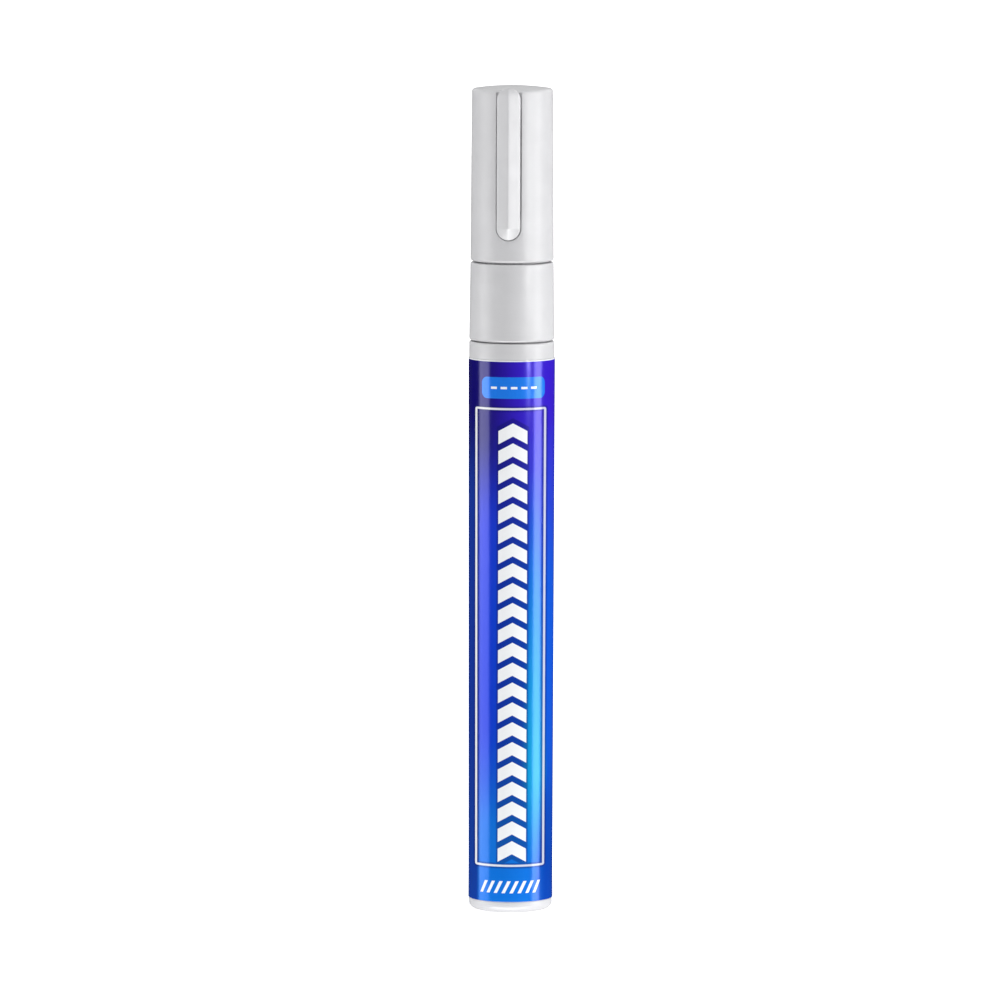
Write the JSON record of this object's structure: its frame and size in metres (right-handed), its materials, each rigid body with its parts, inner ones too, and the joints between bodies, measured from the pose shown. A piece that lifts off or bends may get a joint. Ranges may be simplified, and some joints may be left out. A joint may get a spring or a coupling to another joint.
{
  "type": "fabric marker",
  "caption": "Slim fabric marker: white pull-off cap with a moulded clip, blue label sleeve and rounded foot, with a sprung valve, fibre nib and mixing balls inside.",
  "frame": {"origin": "centre of the flat base that the marker stands on", "axes": "+Z along the marker's axis towards the cap's top, -Y towards the clip, +X to the right when the clip faces the viewer"},
  "size_m": [0.015, 0.0162, 0.143],
  "materials": {
    "white_plastic": "glossy moulded polypropylene",
    "label_film": "glossy printed film",
    "soft_plastic": "satin polyethylene",
    "nib_fibre": "pressed polyester fibre",
    "seal_rubber": "moulded rubber",
    "valve_plastic": "moulded acetal",
    "spring_steel": "drawn wire",
    "ball_steel": "polished"
  },
  "bodies": {
    "barrel": {"barrel": "white_plastic", "label_sleeve": "label_film", "front_section": "white_plastic", "valve_seal": "seal_rubber", "valve_cage": "valve_plastic", "valve_spring": "spring_steel"},
    "cap": {"cap": "white_plastic", "inner_cap": "soft_plastic"},
    "nib": {"nib": "nib_fibre"},
    "plunger": {"valve_plunger": "valve_plastic"},
    "ball_1": {"mixing_ball_1": "ball_steel"},
    "ball_2": {"mixing_ball_2": "ball_steel"}
  },
  "joints": [
    {"name": "cap_pull", "type": "slide", "parent": "barrel", "child": "cap", "axis": [0, 0, 1], "range_m": [0, 0.04]},
    {"name": "nib_press", "type": "slide", "parent": "barrel", "child": "nib", "axis": [0, 0, -1], "range_m": [0, 0.002], "stiffness_N_per_m": 600, "springref_m": -0.003},
    {"name": "valve_open", "type": "slide", "parent": "barrel", "child": "plunger", "axis": [0, 0, -1], "range_m": [0, 0.002], "deforming": ["valve_spring"]},
    {"name": "ball_1_run", "type": "slide", "parent": "barrel", "child": "ball_1", "axis": [0, 0, 1], "range_m": [0, 0.0833]},
    {"name": "ball_2_run", "type": "slide", "parent": "barrel", "child": "ball_2", "axis": [0, 0, 1], "range_m": [0, 0.0833]}
  ],
  "couplings": [
    {"joint": "valve_open", "follows": "nib_press", "ratio": 1}
  ]
}
